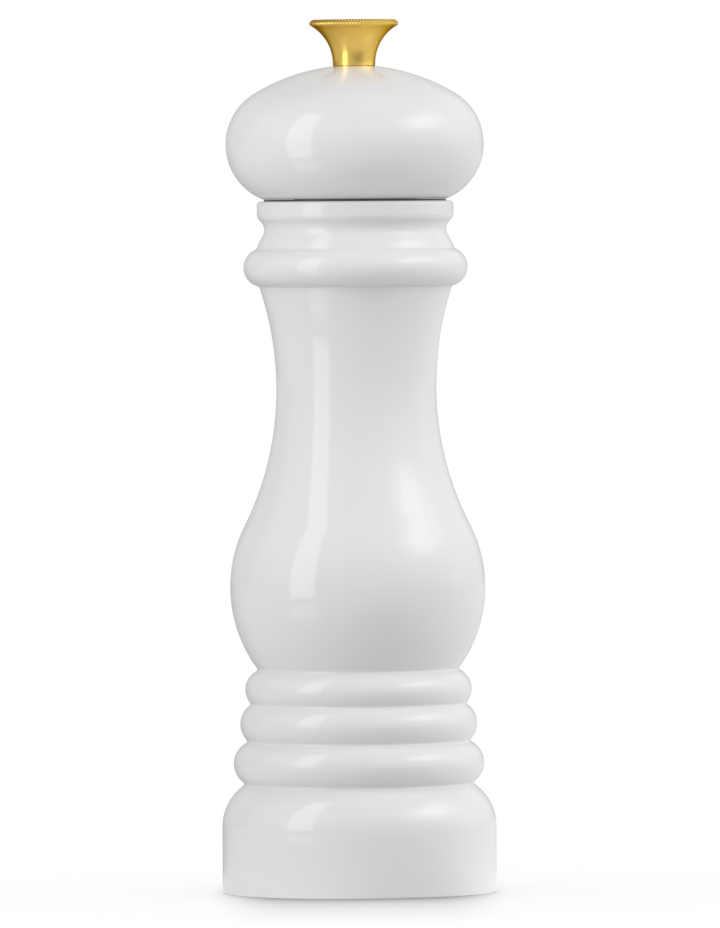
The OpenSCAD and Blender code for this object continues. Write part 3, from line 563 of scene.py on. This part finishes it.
# %% [markdown]
# ### Satin brass
#
# The knob is turned brass under a clear satin lacquer. The tool leaves rings about 0.1 mm apart, too fine
# to see one by one, so they are drawn 1.57 mm apart, as very shallow grooves that break up the highlight a
# little. The colour drifts between the metal's grains. Lacquered brass looks deeper and browner where it
# turns away from the eye, and for a metal the shader's Specular Tint is just that edge colour.

# %% Satin brass
brass, place = new_material("satin turned brass")
wave_length = math.tau / 20  # a wave texture of scale 1 repeats after this much
rings = add(brass, "ShaderNodeTexWave", {
    "wave_type": "BANDS", "bands_direction": "Z", "Scale": wave_length * per_mm(1.5708),
    "Distortion": 0.6, "Detail": 1.0, "Detail Scale": 2.0}, Vector=place).outputs["Fac"]
cut = add(brass, "ShaderNodeBump", {"Strength": 0.5, "Distance": 0.006 * MM}, Height=rings)
grain = add(brass, "ShaderNodeTexNoise", {"Scale": per_mm(0.8), "Detail": 4.0}, Vector=place).outputs["Fac"]
tint = add(brass, "ShaderNodeMix", {"data_type": "RGBA"}, Factor=grain)
colour_a, colour_b, blended = 6, 7, 2  # where a Mix node keeps its two colours, and what comes out
tint.inputs[colour_a].default_value = linear("#EFC966")
tint.inputs[colour_b].default_value = linear("#F6D376")
satin = add(brass, "ShaderNodeMapRange", {"To Min": 0.17, "To Max": 0.25}, Value=grain)
shader = add(brass, "ShaderNodeBsdfPrincipled", {"Metallic": 1.0, "Specular Tint": linear("#A07230")},
             Base_Color=tint.outputs[blended], Roughness=satin.outputs["Result"],
             Normal=cut.outputs["Normal"])
add(brass, "ShaderNodeOutputMaterial", Surface=shader.outputs["BSDF"])
print(brass.name, "has", len(brass.node_tree.nodes), "nodes")

# %% [markdown]
# ### The plain plastics
#
# The tube, the base plate and the core are natural ABS from an unpolished mould, with a fine even grain.
# The housing, bridge and hub are black glass-filled nylon, whose surface shows cloudy grey flow. The glide
# ring is dark acetal, which is smooth and slightly waxy.

# %% Natural ABS
natural, place = new_material("natural ABS")
grain = add(natural, "ShaderNodeTexNoise", {"Scale": per_mm(0.6), "Detail": 3.0}, Vector=place).outputs["Fac"]
skin = add(natural, "ShaderNodeBump", {"Strength": 0.4, "Distance": 0.02 * MM}, Height=grain)
sheen = add(natural, "ShaderNodeMapRange", {"To Min": 0.36, "To Max": 0.5}, Value=grain)
shader = add(natural, "ShaderNodeBsdfPrincipled", {"Base Color": linear("#DAD7CE"), "IOR": 1.54},
             Roughness=sheen.outputs["Result"], Normal=skin.outputs["Normal"])
add(natural, "ShaderNodeOutputMaterial", Surface=shader.outputs["BSDF"])
print(natural.name, "has", len(natural.node_tree.nodes), "nodes")

# %% Black glass-filled nylon
nylon, place = new_material("black glass-filled nylon")
flow = add(nylon, "ShaderNodeTexNoise", {
    "Scale": per_mm(3), "Detail": 5.0, "Distortion": 1.5}, Vector=place).outputs["Fac"]
clouds = add(nylon, "ShaderNodeMix", {"data_type": "RGBA"}, Factor=flow)
clouds.inputs[colour_a].default_value = linear("#1B1C1E")
clouds.inputs[colour_b].default_value = linear("#303236")
sheen = add(nylon, "ShaderNodeMapRange", {"To Min": 0.42, "To Max": 0.62}, Value=flow)
skin = add(nylon, "ShaderNodeBump", {"Strength": 0.3, "Distance": 0.03 * MM}, Height=flow)
shader = add(nylon, "ShaderNodeBsdfPrincipled", {"IOR": 1.53}, Base_Color=clouds.outputs[blended],
             Roughness=sheen.outputs["Result"], Normal=skin.outputs["Normal"])
add(nylon, "ShaderNodeOutputMaterial", Surface=shader.outputs["BSDF"])
print(nylon.name, "has", len(nylon.node_tree.nodes), "nodes")

# %% Dark acetal
acetal, place = new_material("dark grey acetal")
wear = add(acetal, "ShaderNodeTexNoise", {"Scale": per_mm(1.5), "Detail": 4.0}, Vector=place).outputs["Fac"]
sheen = add(acetal, "ShaderNodeMapRange", {"To Min": 0.3, "To Max": 0.46}, Value=wear)
shader = add(acetal, "ShaderNodeBsdfPrincipled", {"Base Color": linear("#4A4A4C"), "IOR": 1.48},
             Roughness=sheen.outputs["Result"])
add(acetal, "ShaderNodeOutputMaterial", Surface=shader.outputs["BSDF"])
print(acetal.name, "has", len(acetal.node_tree.nodes), "nodes")

# %% [markdown]
# ### Burr ceramic
#
# The burrs are pressed and fired alumina, warm white, dull and slightly chalky, with a grain of about
# 0.3 mm and faint darker specks.

# %% Burr ceramic
alumina, place = new_material("fired alumina")
chalk = add(alumina, "ShaderNodeTexNoise", {"Scale": per_mm(0.3), "Detail": 3.0}, Vector=place).outputs["Fac"]
skin = add(alumina, "ShaderNodeBump", {"Strength": 0.5, "Distance": 0.03 * MM}, Height=chalk)
specks = add(alumina, "ShaderNodeTexVoronoi", {"Scale": per_mm(1.6)}, Vector=place).outputs["Distance"]
dots = add(alumina, "ShaderNodeMapRange", {"From Max": 0.16, "To Min": 0.35, "To Max": 0.0}, Value=specks)
speckled = add(alumina, "ShaderNodeMix", {"data_type": "RGBA"}, Factor=dots.outputs["Result"])
speckled.inputs[colour_a].default_value = linear("#E9E3D3")
speckled.inputs[colour_b].default_value = linear("#B9AD93")
shader = add(alumina, "ShaderNodeBsdfPrincipled", {"Roughness": 0.62, "IOR": 1.6},
             Base_Color=speckled.outputs[blended], Normal=skin.outputs["Normal"])
add(alumina, "ShaderNodeOutputMaterial", Surface=shader.outputs["BSDF"])
print(alumina.name, "has", len(alumina.node_tree.nodes), "nodes")

# %% [markdown]
# ### The metals inside
#
# The spindle, plates, washers, nut, spring and screws are bright stainless steel, drawn or stamped, with
# fine streaks along the draw. The bush is sintered bronze, which is full of small dark pores that hold its
# oil.

# %% Stainless steel
stainless, place = new_material("drawn stainless steel")
along_bar = add(stainless, "ShaderNodeMapping", {"Scale": (1, 1, 0.04)}, Vector=place).outputs["Vector"]
streaks = add(stainless, "ShaderNodeTexNoise", {
    "Scale": per_mm(0.35), "Detail": 4.0}, Vector=along_bar).outputs["Fac"]
sheen = add(stainless, "ShaderNodeMapRange", {"To Min": 0.22, "To Max": 0.42}, Value=streaks)
skin = add(stainless, "ShaderNodeBump", {"Strength": 0.4, "Distance": 0.008 * MM}, Height=streaks)
shader = add(stainless, "ShaderNodeBsdfPrincipled", {"Base Color": linear("#C9CACB"), "Metallic": 1.0},
             Roughness=sheen.outputs["Result"], Normal=skin.outputs["Normal"])
add(stainless, "ShaderNodeOutputMaterial", Surface=shader.outputs["BSDF"])
print(stainless.name, "has", len(stainless.node_tree.nodes), "nodes")

# %% Sintered bronze
bronze, place = new_material("sintered bronze")
pores = add(bronze, "ShaderNodeTexVoronoi", {"Scale": per_mm(0.4)}, Vector=place).outputs["Distance"]
skin = add(bronze, "ShaderNodeBump", {"Strength": 0.6, "Distance": 0.04 * MM}, Height=pores)
sheen = add(bronze, "ShaderNodeMapRange", {"To Min": 0.38, "To Max": 0.6}, Value=pores)
shader = add(bronze, "ShaderNodeBsdfPrincipled", {"Base Color": linear("#A9793F"), "Metallic": 1.0},
             Roughness=sheen.outputs["Result"], Normal=skin.outputs["Normal"])
add(bronze, "ShaderNodeOutputMaterial", Surface=shader.outputs["BSDF"])
print(bronze.name, "has", len(bronze.node_tree.nodes), "nodes")

# %% [markdown]
# ## Put it together
#
# Each piece but the spring rides on the body that carries it. Each stands for its part of the frame and takes
# its finish.

# %% Place the pieces
def fit(piece, body_name, node, material):
    piece.data.materials.clear()
    piece.data.materials.append(material)
    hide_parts(node)
    if node == "grinder_spring":
        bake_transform(piece)
    else:
        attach(piece, body_name)


fit(body, "body", "body_shell", abs_white)
fit(head, "head", "head_shell", abs_white)
fit(knob, "knob", "knob", brass)
fit(spindle, "spindle", "spindle", stainless)
fit(spring, "spring_seat", "grinder_spring", stainless)
FINISHES = {
    "abs_natural": natural, "nylon_black": nylon, "acetal_grey": acetal, "burr_ceramic": alumina,
    "stainless": stainless, "bronze": bronze, "knob_brass": brass,
}
slot_of = {part["node"]: part["material_slot"] for part in frame["record"]["subparts"]}
for body_name, nodes in INNER_PARTS.items():
    for node in nodes:
        fit(inner[node], body_name, node, FINISHES[slot_of[node]])

# %% [markdown]
# ## The studio
#
# The mill stands on a white table in front of white paper. The camera is a long way off, level with the
# seam under the head, so that the seam draws as a straight line and the foot's edge as a very flat curve.
#
# The table has two jobs. The camera sees it as pure white, apart from the mill's own shadow. The mill sees
# it as a sheet of soft grey light. So the card gets two glowing shaders, and Light Path picks one for each
# ray. Both need to know the way outward from the mill, and how far off a place is.

# %% The table
put_down()
bpy.ops.mesh.primitive_plane_add(size=8, location=(0, 0, 0))
table = bpy.context.object
table.name = table.data.name = "table_top"
card, place = new_material("white card")
table.data.materials.append(card)
outward = add(card, "ShaderNodeVectorMath", {"operation": "NORMALIZE"}, Vector=place).outputs["Vector"]
reach = add(card, "ShaderNodeVectorMath", {"operation": "LENGTH"}, Vector=place).outputs["Value"]
print("the table is %.0f m wide" % table.dimensions.x)

# %% [markdown]
# The light that the mill gets from the table is a sum of four fades. The table glows more at the sides
# than in front, a little more still on the right, and more close to the foot. In front, a little to the
# right, lies a dim patch: its fade is negative, so it takes light away and shades the undersides.

# %% The table as the mill sees it
dim_turn, dim_reach = math.radians(22), 0.18  # how far round to the right the dim patch lies, and how far off
to_the_right = Vector((math.cos(dim_turn), math.sin(dim_turn), 0))
dim_middle = Vector((math.sin(dim_turn), -math.cos(dim_turn), 0)) * dim_reach
across = add(card, "ShaderNodeVectorMath", {"operation": "DOT_PRODUCT"}, to_the_right, Vector=outward)
sideways = add(card, "ShaderNodeMath", {"operation": "ABSOLUTE"}, Value=across.outputs["Value"])
from_dim = add(card, "ShaderNodeVectorMath", {"operation": "DISTANCE"}, dim_middle, Vector=place)
FADES = [  # what the light depends on, where it starts and stops changing, and the light at both ends
    (sideways.outputs["Value"], 0.05, 0.8, 0.41, 0.66),
    (across.outputs["Value"], 0.3, 0.9, 0.0, 0.14),
    (reach, 0.045, 0.10, 0.14, 0.0),
    (from_dim.outputs["Value"], 0.03, 0.17, -0.32, 0.0),
]
glow = 0.0
for measure, start, stop, first, last in FADES:
    fade = add(card, "ShaderNodeMapRange", {
        "interpolation_type": "SMOOTHSTEP", "From Min": start, "From Max": stop,
        "To Min": first, "To Max": last}, Value=measure).outputs["Result"]
    glow = add(card, "ShaderNodeMath", {"operation": "ADD"}, glow, Value=fade).outputs["Value"]
print("the table's light is a sum of", len(FADES), "fades")

# %% [markdown]
# A tall strip box stands close by on the left, and shines on the table below it. That bright stretch is a
# fade round the strip's direction times a fade along it.

# %% The bright stretch under the strip box
strip_turn, strip_reach = math.radians(49.5), 0.37  # how far round to the left it stands, and how far off
strip_way = Vector((-math.sin(strip_turn), -math.cos(strip_turn), 0))
towards = add(card, "ShaderNodeVectorMath", {"operation": "DOT_PRODUCT"}, strip_way, Vector=outward)
beam_edge, beam_core = math.cos(math.radians(15)), math.cos(math.radians(9))
beam = add(card, "ShaderNodeMapRange", {
    "interpolation_type": "SMOOTHSTEP", "From Min": beam_edge, "From Max": beam_core, "To Max": 0.9},
    Value=towards.outputs["Value"])
stretch_middle = strip_reach - 0.1
past_middle = add(card, "ShaderNodeMath", {"operation": "SUBTRACT"}, stretch_middle, Value=reach)
from_middle = add(card, "ShaderNodeMath", {"operation": "ABSOLUTE"}, Value=past_middle.outputs["Value"])
ends = add(card, "ShaderNodeMapRange", {
    "interpolation_type": "SMOOTHSTEP", "From Min": 0.06, "From Max": 0.12, "To Min": 1.0, "To Max": 0.0},
    Value=from_middle.outputs["Value"])
stretch = add(card, "ShaderNodeMath", {"operation": "MULTIPLY"}, beam.outputs["Result"],
              Value=ends.outputs["Result"])
bright = add(card, "ShaderNodeMath", {"operation": "ADD"}, glow, Value=stretch.outputs["Value"])
sheet = add(card, "ShaderNodeEmission", {"Color": (1, 1, 1, 1)}, Strength=bright.outputs["Value"])
print("the bright stretch lies %.2f m from the mill" % stretch_middle)

# %% [markdown]
# The camera sees white paper with a soft shadow where the foot meets the table. Ambient occlusion measures
# how much of the sky a place sees, and a power of it makes a shadow. The power is high in front of the
# foot and low beside it, as under a long light overhead.

# %% The table as the camera sees it
aside = add(card, "ShaderNodeSeparateXYZ", Vector=place).outputs["X"]
beside = add(card, "ShaderNodeMath", {"operation": "ABSOLUTE"}, Value=aside).outputs["Value"]
depth = add(card, "ShaderNodeMapRange", {
    "interpolation_type": "SMOOTHSTEP", "From Min": 0.018, "From Max": 0.037, "To Min": 1.95, "To Max": 0.15},
    Value=beside).outputs["Result"]
sky = add(card, "ShaderNodeAmbientOcclusion", {"samples": 16, "Distance": 0.12}).outputs["AO"]
shade = add(card, "ShaderNodeMath", {"operation": "POWER"}, depth, Value=sky)
lit = add(card, "ShaderNodeEmission", {"Color": (1, 1, 1, 1)}, Strength=shade.outputs["Value"])
either = add(card, "ShaderNodeMixShader", Fac=add(card, "ShaderNodeLightPath").outputs["Is Camera Ray"])
card.node_tree.links.new(sheet.outputs[0], either.inputs[1])
card.node_tree.links.new(lit.outputs[0], either.inputs[2])
add(card, "ShaderNodeOutputMaterial", Surface=either.outputs[0])
print("the card has", len(card.node_tree.nodes), "nodes")

# %% [markdown]
# The camera stands far off with a long lens, so the mill is drawn almost without perspective. It looks
# down by about a degree, and leans by less than half a degree.

# %% The camera
camera_distance, camera_height, camera_aside = 3.16, 0.166, 0.0012
aim_height, view_height, sensor, lean = 0.1031, 0.2233, 36, math.radians(0.41)
camera_data = bpy.data.cameras.new("camera")
camera_data.lens = sensor * camera_distance / view_height
camera = bpy.data.objects.new("camera", camera_data)
bpy.context.collection.objects.link(camera)
camera.location = (camera_aside, -camera_distance, camera_height)
down = math.atan2(camera_height - aim_height, camera_distance)
camera.rotation_euler = (math.pi / 2 - down, lean, 0)
bpy.context.scene.camera = camera
print("lens %.0f mm, looking down by %.1f degrees" % (camera_data.lens, math.degrees(down)))

# %% [markdown]
# The mill stands in a tent of soft panels. Each panel is a round patch of light that fades out from its
# middle, and the patches overlap into one smooth wall: dimmer in front and on the left, brighter on the
# right. Three small strong patches side by side, high on the right, draw the soft highlight there. The
# negative patch is a grey flag, which outlines the left edges.

# %% The tent
PANELS = [  # degrees round from the camera to the right, degrees up, how wide the patch is, how bright
    (0, 8, 52, 0.32), (40, 8, 52, 0.42), (80, 8, 52, 0.70), (120, 8, 52, 0.58), (165, 8, 52, 0.22),
    (-40, 8, 52, 0.41), (-80, 8, 52, 0.46), (-120, 8, 52, 0.33), (-165, 8, 52, 0.29),
    (0, 48, 52, 0.24), (60, 48, 52, 0.53), (120, 48, 52, 0.40), (180, 48, 52, 0.18), (-120, 48, 52, 0.14),
    (-60, 48, 52, 0.28), (70, 33, 33, 0.18), (58, 34, 15, 0.95), (72, 33, 16, 1.4), (88, 35, 17, 0.65),
    (-108, 8, 30, -0.2),
]
full_share = 0.16  # how much of a patch's width has its full light
world = bpy.data.worlds.new("tent")
bpy.context.scene.world = world
world.use_nodes = True
world.node_tree.nodes.clear()
direction = add(world, "ShaderNodeTexCoord").outputs["Generated"]
brightness = 0.0
for around, up, width, amount in PANELS:
    turn, rise = math.radians(around), math.radians(up)
    centre = (math.sin(turn) * math.cos(rise), -math.cos(turn) * math.cos(rise), math.sin(rise))
    along = add(world, "ShaderNodeVectorMath", {"operation": "DOT_PRODUCT"}, centre, Vector=direction)
    edge, middle = math.cos(math.radians(width)), math.cos(math.radians(full_share * width))
    patch = add(world, "ShaderNodeMapRange", {
        "interpolation_type": "SMOOTHSTEP", "From Min": edge, "From Max": middle, "To Max": amount},
        Value=along.outputs["Value"]).outputs["Result"]
    brightness = add(world, "ShaderNodeMath", {"operation": "ADD"}, brightness, Value=patch).outputs["Value"]
print("the tent has", len(PANELS), "patches of light")

# %% [markdown]
# The camera sees plain white paper behind the mill, and every other ray sees the tent.

# %% Paper for the camera, the tent for the mill
tent = add(world, "ShaderNodeBackground", {"Color": (1, 1, 1, 1)}, Strength=brightness)
paper = add(world, "ShaderNodeBackground", {"Color": (1, 1, 1, 1), "Strength": 1.0})
either = add(world, "ShaderNodeMixShader", Fac=add(world, "ShaderNodeLightPath").outputs["Is Camera Ray"])
world.node_tree.links.new(tent.outputs[0], either.inputs[1])
world.node_tree.links.new(paper.outputs[0], either.inputs[2])
add(world, "ShaderNodeOutputWorld", Surface=either.outputs[0])
bpy.context.scene.view_settings.view_transform = "Standard"
print("the tent has", len(world.node_tree.nodes), "nodes")

# %% [markdown]
# The strip box is an area light, upright and turned to face the mill. It draws the long highlight on the
# left, with sharp sides.

# %% The strip box
strip_data = bpy.data.lights.new("strip box", "AREA")
strip_data.shape, strip_data.size, strip_data.size_y = "RECTANGLE", 0.155, 0.66
strip_data.energy = 0.56
strip = bpy.data.objects.new("strip box", strip_data)
bpy.context.collection.objects.link(strip)
strip_height = 0.36
strip.location = strip_way * strip_reach + Vector((0, 0, strip_height))
strip.rotation_euler = (math.pi / 2, 0, -strip_turn)
print("the strip box is %.2f m from the mill" % math.hypot(strip.location.x, strip.location.y))
